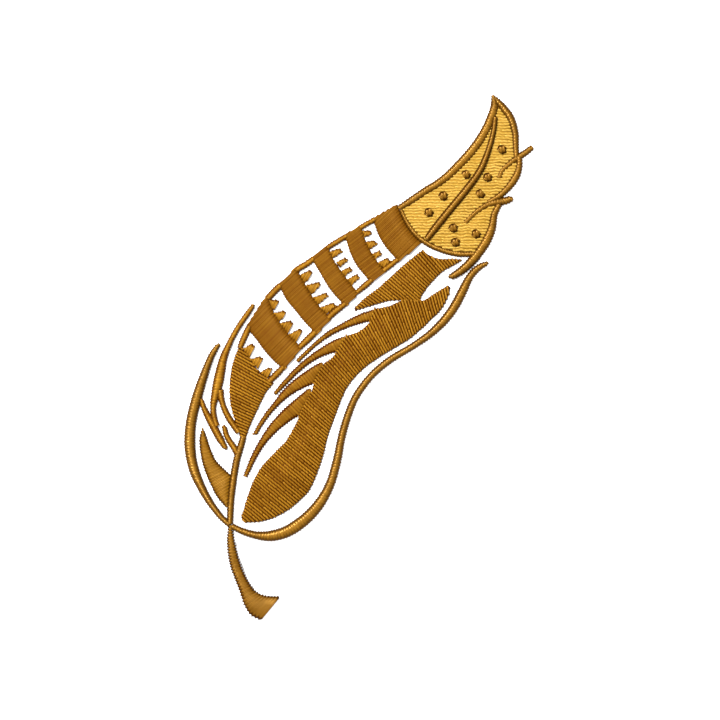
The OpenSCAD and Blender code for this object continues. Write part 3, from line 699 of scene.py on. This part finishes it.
# Middle lines of the satin columns, as in the CAD but a little wider in places at the tip: (x, y, half width)
LINES = {
    "outline_right": [
        (18.3, 13.25, 0.2), (17.3, 12.8, 0.38), (16.4, 12.1, 0.46), (15.6, 11.1, 0.5), (14.8, 9.5, 0.6),
        (13.9, 7.7, 0.62), (12.8, 6, 0.6), (11.5, 4.5, 0.56), (9.8, 3, 0.48), (7.6, 1.5, 0.44),
        (4.9, -0.1, 0.46), (2.6, -1.9, 0.46), (0.9, -3.8, 0.46), (-0.5, -6, 0.48), (-1.6, -8.9, 0.5),
        (-2.3, -11.5, 0.52), (-2.8, -14.1, 0.56), (-3.6, -17.1, 0.6), (-4.6, -19.3, 0.66), (-6, -21.3, 0.74),
        (-7.9, -23.1, 0.8), (-10, -24.4, 0.78), (-12, -24.95, 0.72), (-14, -24.9, 0.52), (-16, -24.35, 0.42),
        (-17.6, -23.6, 0.35)],
    "outline_left": [
        (-17.8, -23.5, 0.33), (-19.2, -22.2, 0.38), (-20.7, -20.2, 0.46), (-21.9, -18.1, 0.56),
        (-22.8, -16, 0.66), (-23.3, -14, 0.7), (-23.5, -11.8, 0.74), (-23.3, -9, 0.7), (-22.6, -6, 0.68),
        (-21.8, -3.4, 0.6), (-21, -1.1, 0.46), (-20.3, 0.5, 0.4), (-19.4, 1.9, 0.24)],
    "rachis": [
        (-17.85, -23.3, 0.38), (-17.75, -20.5, 0.42), (-17.4, -17.2, 0.45), (-16.9, -14.3, 0.45),
        (-16.2, -11.9, 0.42), (-15.8, -10.4, 0.3)],
    "wisp_long": [
        (-14.5, 7.4, 0.25), (-15.5, 6, 0.34), (-16.9, 3.9, 0.34), (-18, 1.8, 0.38), (-18.8, -0.2, 0.52),
        (-19.4, -3, 0.68), (-19.9, -5.2, 0.55), (-20.2, -6.8, 0.38), (-20.1, -8.2, 0.36),
        (-19.7, -9.6, 0.36)],
    "wisp_branch": [
        (-19.3, -4.4, 0.5), (-19, -6.1, 0.36), (-18.5, -7.5, 0.38), (-17.8, -8.8, 0.4), (-16.6, -10.5, 0.4)],
    "wisp_low": [
        (-21.9, -5.8, 0.2), (-21.4, -7.3, 0.36), (-20.4, -9.2, 0.48), (-19.4, -11.1, 0.48),
        (-18.4, -12.8, 0.26)],
    "wisp_short": [
        (-18.7, -9.5, 0.28), (-18.3, -11, 0.34), (-17.5, -12.3, 0.38), (-16.7, -13.6, 0.4)],
    "outer_margin": [
        (-16.9, 0.4, 0.2), (-16.2, 2, 0.36), (-15.5, 3.6, 0.4), (-14.6, 5.3, 0.3), (-12.5, 8.3, 0.42),
        (-11.2, 9.7, 0.42), (-9.7, 11.1, 0.3), (-8.3, 12.4, 0.38), (-7, 13.2, 0.38), (-5.2, 14.6, 0.3),
        (-3.7, 15.7, 0.33), (-2.4, 16.5, 0.33), (-0.7, 17.5, 0.3), (0.9, 18.5, 0.32), (2.2, 19.2, 0.3),
        (3.6, 20, 0.3)],
    "inner_margin": [
        (-12.4, -3.4, 0.34), (-11.3, -2.3, 0.42), (-10.2, -1.1, 0.34), (-8.2, 1.3, 0.34), (-7, 2.5, 0.44),
        (-5.7, 3.8, 0.4), (-4.3, 5.3, 0.34), (-3.2, 6.4, 0.42), (-1.9, 7.4, 0.36), (-0.2, 9, 0.3),
        (1.2, 10.2, 0.38), (2.6, 11.4, 0.3), (4.2, 12.6, 0.36), (5.6, 13.7, 0.3)],
    "tip_front_edge": [
        (5.8, 20.85, 0.39), (7.6, 22, 0.51), (9.6, 23.35, 0.53), (11.2, 24.3, 0.55),
        (12.7, 25.45, 0.59), (14.1, 26.8, 0.63), (15.6, 28.4, 0.65), (17, 30.2, 0.65),
        (18.1, 32.1, 0.63), (18.8, 33.8, 0.61), (19.2, 35.2, 0.55), (18.9, 36.75, 0.15)],
    "tip_back_edge_upper": [
        (19.1, 36.5, 0.14), (20, 35.4, 0.46), (21.3, 33.7, 0.52), (22, 31.6, 0.48), (22.1, 29.8, 0.44),
        (22.2, 28.1, 0.36)],
    "tip_back_edge_middle": [
        (22.6, 28, 0.4), (22.6, 26.7, 0.44), (22.1, 25.2, 0.52), (21, 23.7, 0.48), (19.8, 22.6, 0.4),
        (18.3, 21.8, 0.24)],
    "tip_back_edge_lower": [
        (19.8, 21.4, 0.42), (19.1, 20, 0.47), (18.8, 18.2, 0.57), (18, 16.3, 0.65), (16.9, 14.6, 0.62),
        (15.3, 12.8, 0.57), (13.7, 11.6, 0.47), (12.8, 11.25, 0.3)],
    "tip_base_edge": [
        (6.1, 20.7, 0.26), (6.9, 19, 0.3), (8.2, 17.2, 0.33), (9.9, 15.9, 0.36), (12, 15, 0.37),
        (14.2, 14.5, 0.37), (16.4, 14.5, 0.33)],
    "tip_barb_upper": [
        (19.8, 25.1, 0.4), (20.2, 26.1, 0.36), (21.1, 27, 0.36), (22.4, 27.95, 0.42),
        (23.5, 28.65, 0.4), (24.5, 29.5, 0.34)],
    "tip_barb_lower": [
        (15.05, 18.85, 0.42), (16.3, 20.1, 0.37), (17.8, 21.2, 0.4), (19.4, 21.75, 0.48),
        (20.6, 21.9, 0.5), (21.7, 22.3, 0.4)],
    "tip_vein": [
        (19.3, 33.8, 0.21), (19, 31.6, 0.25), (18.3, 29, 0.3), (17.1, 26.1, 0.37), (15, 23.2, 0.41),
        (12.6, 20.3, 0.42), (10.7, 17.9, 0.42), (9.7, 16.6, 0.31)],
}

# Fills whose rows turn along a guide: (x, y, direction of the row there)
GUIDES = {
    "right_vane_main": [
        (14, 11, 98), (11, 7.9, 105), (7.2, 5.2, 109), (3.5, 3.2, 117), (0.4, 0.9, 125), (-2.6, -2.6, 133),
        (-5.2, -7.2, 138), (-7, -11.2, 140), (-8.8, -14.8, 140), (-11.4, -19, 140), (-14.8, -22.6, 140),
        (-17.5, -25, 140)],
    "right_vane_top": [(-1.4, 6, 146), (3, 9.2, 142), (8, 11.7, 136), (12.5, 13.2, 128), (16, 14.2, 120)],
    "right_barb_1": [(3.4, 6, 118), (1.5, 5.75, 110), (-0.3, 5.15, 116), (-2.2, 4.3, 122), (-5, 2.6, 132),
                     (-8.8, -0.9, 138)],
    "right_barb_2": [(-1, 2, 126), (-2.8, 1.7, 118), (-5, 0.7, 124), (-7.6, -1, 130), (-9.3, -2.6, 134),
                     (-12, -5.5, 140)],
    "right_barb_3": [
        (-4.4, -1.6, 130), (-6.2, -2.5, 128), (-8.3, -3.7, 128), (-10, -5, 132), (-11.5, -6.6, 140),
        (-13.1, -8.6, 144), (-14.7, -11.4, 150)],
    "right_barb_4": [
        (-6, -5.4, 136), (-8, -6.7, 134), (-9.9, -8.1, 134), (-11.7, -9.8, 138), (-13.2, -11.7, 144),
        (-14.5, -13.9, 152), (-16, -17.2, 160)],
    "vane_base": [(-15.2, 3, 150), (-15.1, -3, 151), (-15.7, -8, 155), (-16.2, -12.5, 158)],
    "down_patch": [(-21.9, -9.4, 0), (-21.2, -13, 12), (-19.8, -17, 28), (-18, -22.2, 42)],
    "calamus": [
        (-17.8, -22.8, 2), (-17.6, -26, 5), (-17.1, -29, 10), (-16.2, -31.5, 18), (-15.2, -33.3, 28),
        (-13.9, -34.4, 40), (-12.4, -35, 50.5), (-11, -36.2, 50.5)],
}
# Directions of parallel rows, in degrees
BAR_TURN = {"bar_1": 44, "bar_2": 37, "bar_3": 38, "bar_4": 42, "bar_5": 45}
TEETH_TURN = 62
SPOT_TURN = 122
BOBBIN_TURN = 112

EDGES = {node: bottom_edges(node) for node in sorted(NODES)}


def seed_of(node):
    """A seed for the random draws of a node, made from its name."""
    return sum(ord(c) * (i + 3) for i, c in enumerate(node))


def stitched_at(node):
    """A test of whether any other stitched piece on the front covers a point."""
    others = []
    for n, edges in EDGES.items():
        if n != node and SLOTS[n] in ("brown_thread", "edge_thread", "gold_thread"):
            (x0, y0, _), (x1, y1, _) = box_mm(n)
            others.append((x0, y0, x1, y1, edges))
    return lambda p: any(x0 < p[0] < x1 and y0 < p[1] < y1 and inside(e, p) for x0, y0, x1, y1, e in others)


def satin(threads, node, rows, z0, z1, rise, room=0.07, arch=2.6, thick=0.14, dark=0.0, zigzag=False,
          ridge=0.0, edge=0.4, reach=3.0):
    """Satin stitches and their padding. A stitch rises by rise[0], and by rise[1] for each mm of its length,
    and stays room below z1. A high arch makes it flat on top. edge is how far painted shade darkens it from
    its ends, and reach is the widest step inside one run."""
    joined = stitched_at(node)
    covered_at = (lambda p: False) if zigzag else joined

    def rise_of(length):
        return min(z1 - z0 - room, rise[0] + rise[1] * length)

    threads.padding(rows, z0, rise_of, arch, PADDING_TONE, dark, edge, joined, covered_at, reach)
    arched(threads, rows, z0, rise_of, SATIN_WIDTH, thick, arch, dark, zigzag, ridge, edge, covered_at, reach)


def stitch_column(threads, node, z0, z1):
    overlap = 0.7 if "back_edge" in node else 0.3
    rows = column_rows(LINES[node], SATIN_PITCH, EDGES[node], stitched_at(node), overlap)
    satin(threads, node, rows, z0, z1, (0.12, 0.46), room=0.08, arch=2.2, thick=0.08, zigzag=True, edge=0.55)


def stitch_calamus(threads, node, z0, z1):
    rows = ragged(rows_guided(EDGES[node], GUIDES[node], SATIN_PITCH), 0.12)
    satin(threads, node, rows, z0, z1, (0.1, 0.3), room=0.08, thick=0.08, dark=0.42, ridge=0.004, edge=0.32)


def stitch_down(threads, node, z0, z1):
    rows = rows_guided(EDGES[node], GUIDES[node], SATIN_PITCH)
    satin(threads, node, rows, z0, z1, (0.12, 0.3), dark=0.12, ridge=0.02)


def stitch_barb(threads, node, z0, z1):
    rows = run_on(rows_guided(EDGES[node], GUIDES[node], SATIN_PITCH), 0.2)
    satin(threads, node, rows, z0, z1, (0.12, 0.3), dark=0.3, ridge=0.045)


def stitch_bar(threads, node, z0, z1):
    threads.plate(loops_of(EDGES[node]), z0, z0 + 0.08, tone=0.3, dark=0.4)
    rows = rows_parallel(EDGES[node], BAR_TURN[node], SATIN_PITCH)
    satin(threads, node, rows, z0, z1, (0.12, 0.3), arch=9, thick=0.09, dark=0.58, ridge=0.014, edge=0.12)


def stitch_spot(threads, node, z0, z1):
    rows = rows_parallel(EDGES[node], SPOT_TURN, SATIN_PITCH)
    satin(threads, node, rows, z0, z1, (0.1, 0.3), arch=2.4, dark=0.3, zigzag=True, edge=0.35)


def stitch_teeth(threads, node, z0, z1):
    threads.plate(loops_of(EDGES[node]), z0, z0 + 0.08, tone=0.2, dark=0.5)
    rows = rows_parallel(EDGES[node], TEETH_TURN, SATIN_PITCH)
    satin(threads, node, rows, z0, z1, (0.1, 0.4), dark=0.15, ridge=0.03, edge=0.3, reach=0.8)


def stitch_gold(threads, node, z0, z1):
    threads.plate(loops_of(EDGES[node]), z0, z1 - 0.13, tone=0.3, dark=0.55)
    rows = rows_parallel(EDGES[node], 0, FILL_PITCH)
    fill_rows(threads, rows, z0, z1, width=0.37, thick=0.3, stitch=2.6, wave=0.09, wave_size=1.0, lay=1.3,
              depth=0.08, joined_at=stitched_at(node), dimple=0.4)


def stitch_fill(threads, node, z0, z1):
    threads.plate(loops_of(EDGES[node]), z0, z0 + 0.14, tone=0.2, dark=0.9)
    rows = rows_guided(EDGES[node], GUIDES[node], FILL_PITCH)
    fill_rows(threads, rows, z0, z1, width=0.33, thick=0.36, stitch=3.6, depth=0.08,
              joined_at=stitched_at(node))


def stitch_bobbin(threads, node, z0, z1):
    rows = rows_parallel(EDGES[node], BOBBIN_TURN, BOBBIN_PITCH)
    fill_rows(threads, rows, z0, z1, width=0.3, thick=0.14, stitch=3.0, lay=0.0, depth=0.0, step=0.3,
              lift=0.0)
    for verts in threads.verts:
        verts[:, 2] = np.clip(verts[:, 2], z0, z1)


def stitch_of(node):
    """Which kind of stitching a node gets."""
    if SLOTS[node] == "bobbin_thread":
        return stitch_bobbin
    if node in LINES:
        return stitch_column
    if node in BAR_TURN:
        return stitch_bar
    for word, stitch in (("teeth", stitch_teeth), ("barb", stitch_barb), ("spot", stitch_spot),
                         ("down_patch", stitch_down), ("calamus", stitch_calamus), ("tip_fill", stitch_gold)):
        if word in node:
            return stitch
    return stitch_fill


for node in sorted(NODES):
    if SLOTS[node] in ("white_cloth", "stabiliser"):
        continue
    low, high = box_mm(node)
    threads = Threads(seed_of(node))
    stitch = stitch_of(node)
    stitch(threads, node, low[2], high[2])
    flip = low[2] + high[2] if stitch is stitch_bobbin else None
    threads.piece(node + "_stitches", node, look_of(node), flip)


# ---------------------------------------------------------------- the two sheets

SHEET_GRID = 0.55           # mm from point to point inside a sheet
GRID_SWAY = 0.1             # how many mm the points lie off a square grid


def sheet_piece(name, node, material, pucker):
    """A cut sheet, with its top up to pucker mm uneven. Also gives its flat area."""
    low, high = box_mm(node)
    outline = max(loops_of(EDGES[node]), key=len)
    pts = [Vector(p) for p in outline]
    for y in np.arange(low[1], high[1], SHEET_GRID):
        for x in np.arange(low[0], high[0], SHEET_GRID):
            if inside(EDGES[node], (x, y)):
                pts.append(Vector((x + GRID_SWAY * math.sin(y * 7.3), y + GRID_SWAY * math.sin(x * 5.1))))
    flat, rim, tris = triangulate(pts, len(outline))
    n = len(flat)
    verts = [(p.x * MM, p.y * MM, low[2] * MM) for p in flat]
    for p in flat:
        dip = pucker * (0.5 + 0.5 * noise.noise(Vector((p.x * 0.45, p.y * 0.45, 3.0))))
        verts.append((p.x * MM, p.y * MM, (high[2] - dip) * MM))
    faces = [tuple(n + i for i in t) for t in tris] + [tuple(t[::-1]) for t in tris]
    faces += [(a, b, n + b, n + a) for a, b in rim]
    mesh = bpy.data.meshes.new(name)
    mesh.from_pydata(verts, [], faces)
    mesh.materials.append(material)
    area = sum(abs((flat[b] - flat[a]).cross(flat[c] - flat[a])) / 2 for a, b, c in tris)
    return place(bpy.data.objects.new(name, mesh), node), area * MM * MM


cloth, cloth_area = sheet_piece("ground_cloth_sheet", "ground_cloth", CLOTH, pucker=0.05)
felt, felt_area = sheet_piece("stabiliser_sheet", "stabiliser", FELT, pucker=0.0)
low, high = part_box("ground_cloth")


# ---------------------------------------------------------------- floor, light and camera

def area_light(name, at, size, power):
    data = bpy.data.lights.new(name, "AREA")
    data.shape = "DISK"
    data.size = size
    data.energy = power
    ob = bpy.data.objects.new(name, data)
    ob.location = at
    ob.rotation_euler = (-Vector(at)).to_track_quat("-Z", "Y").to_euler()
    bpy.context.scene.collection.objects.link(ob)


FLOOR_SIZE = 3
FLOOR_Z = -0.00005
mesh = bpy.data.meshes.new("floor")
corners = [(x * FLOOR_SIZE, y * FLOOR_SIZE, FLOOR_Z) for x, y in ((-1, -1), (1, -1), (1, 1), (-1, 1))]
mesh.from_pydata(corners, [], [(0, 1, 2, 3)])
floor = bpy.data.objects.new("floor", mesh)
bpy.context.scene.collection.objects.link(floor)
floor_material, _, shader = new_material("pale_floor")
shader.inputs["Base Color"].default_value = (0.93, 0.93, 0.93, 1)
shader.inputs["Roughness"].default_value = 0.9
shader.inputs["Emission Color"].default_value = (1, 1, 1, 1)
shader.inputs["Emission Strength"].default_value = 0.62
mesh.materials.append(floor_material)

world = bpy.data.worlds.new("studio")
bpy.context.scene.world = world
world.use_nodes = True
world.node_tree.nodes["Background"].inputs["Color"].default_value = (1, 1, 1, 1)
world.node_tree.nodes["Background"].inputs["Strength"].default_value = 0.38

area_light("key", at=(-0.31, 0.31, 0.67), size=0.28, power=11.6)

# The camera looks straight down at the middle of the picture, VIEW_WIDTH wide at the height of the stitches
CAMERA_LENS = 200
CAMERA_FILM = 36
VIEW_WIDTH = 0.1008
VIEW_MIDDLE = (0.00035, -0.00035)
STITCH_Z = 0.0008
cam_data = bpy.data.cameras.new("camera")
cam_data.type = "PERSP"
cam_data.lens = CAMERA_LENS
cam_data.sensor_width = CAMERA_FILM
cam_data.clip_start = 0.01
cam = bpy.data.objects.new("camera", cam_data)
cam.location = (*VIEW_MIDDLE, STITCH_Z + VIEW_WIDTH * CAMERA_LENS / CAMERA_FILM)
cam.rotation_euler = (0, 0, 0)
bpy.context.scene.collection.objects.link(cam)
bpy.context.scene.camera = cam
bpy.context.scene.view_settings.view_transform = "Standard"
bpy.context.scene.view_settings.look = "None"
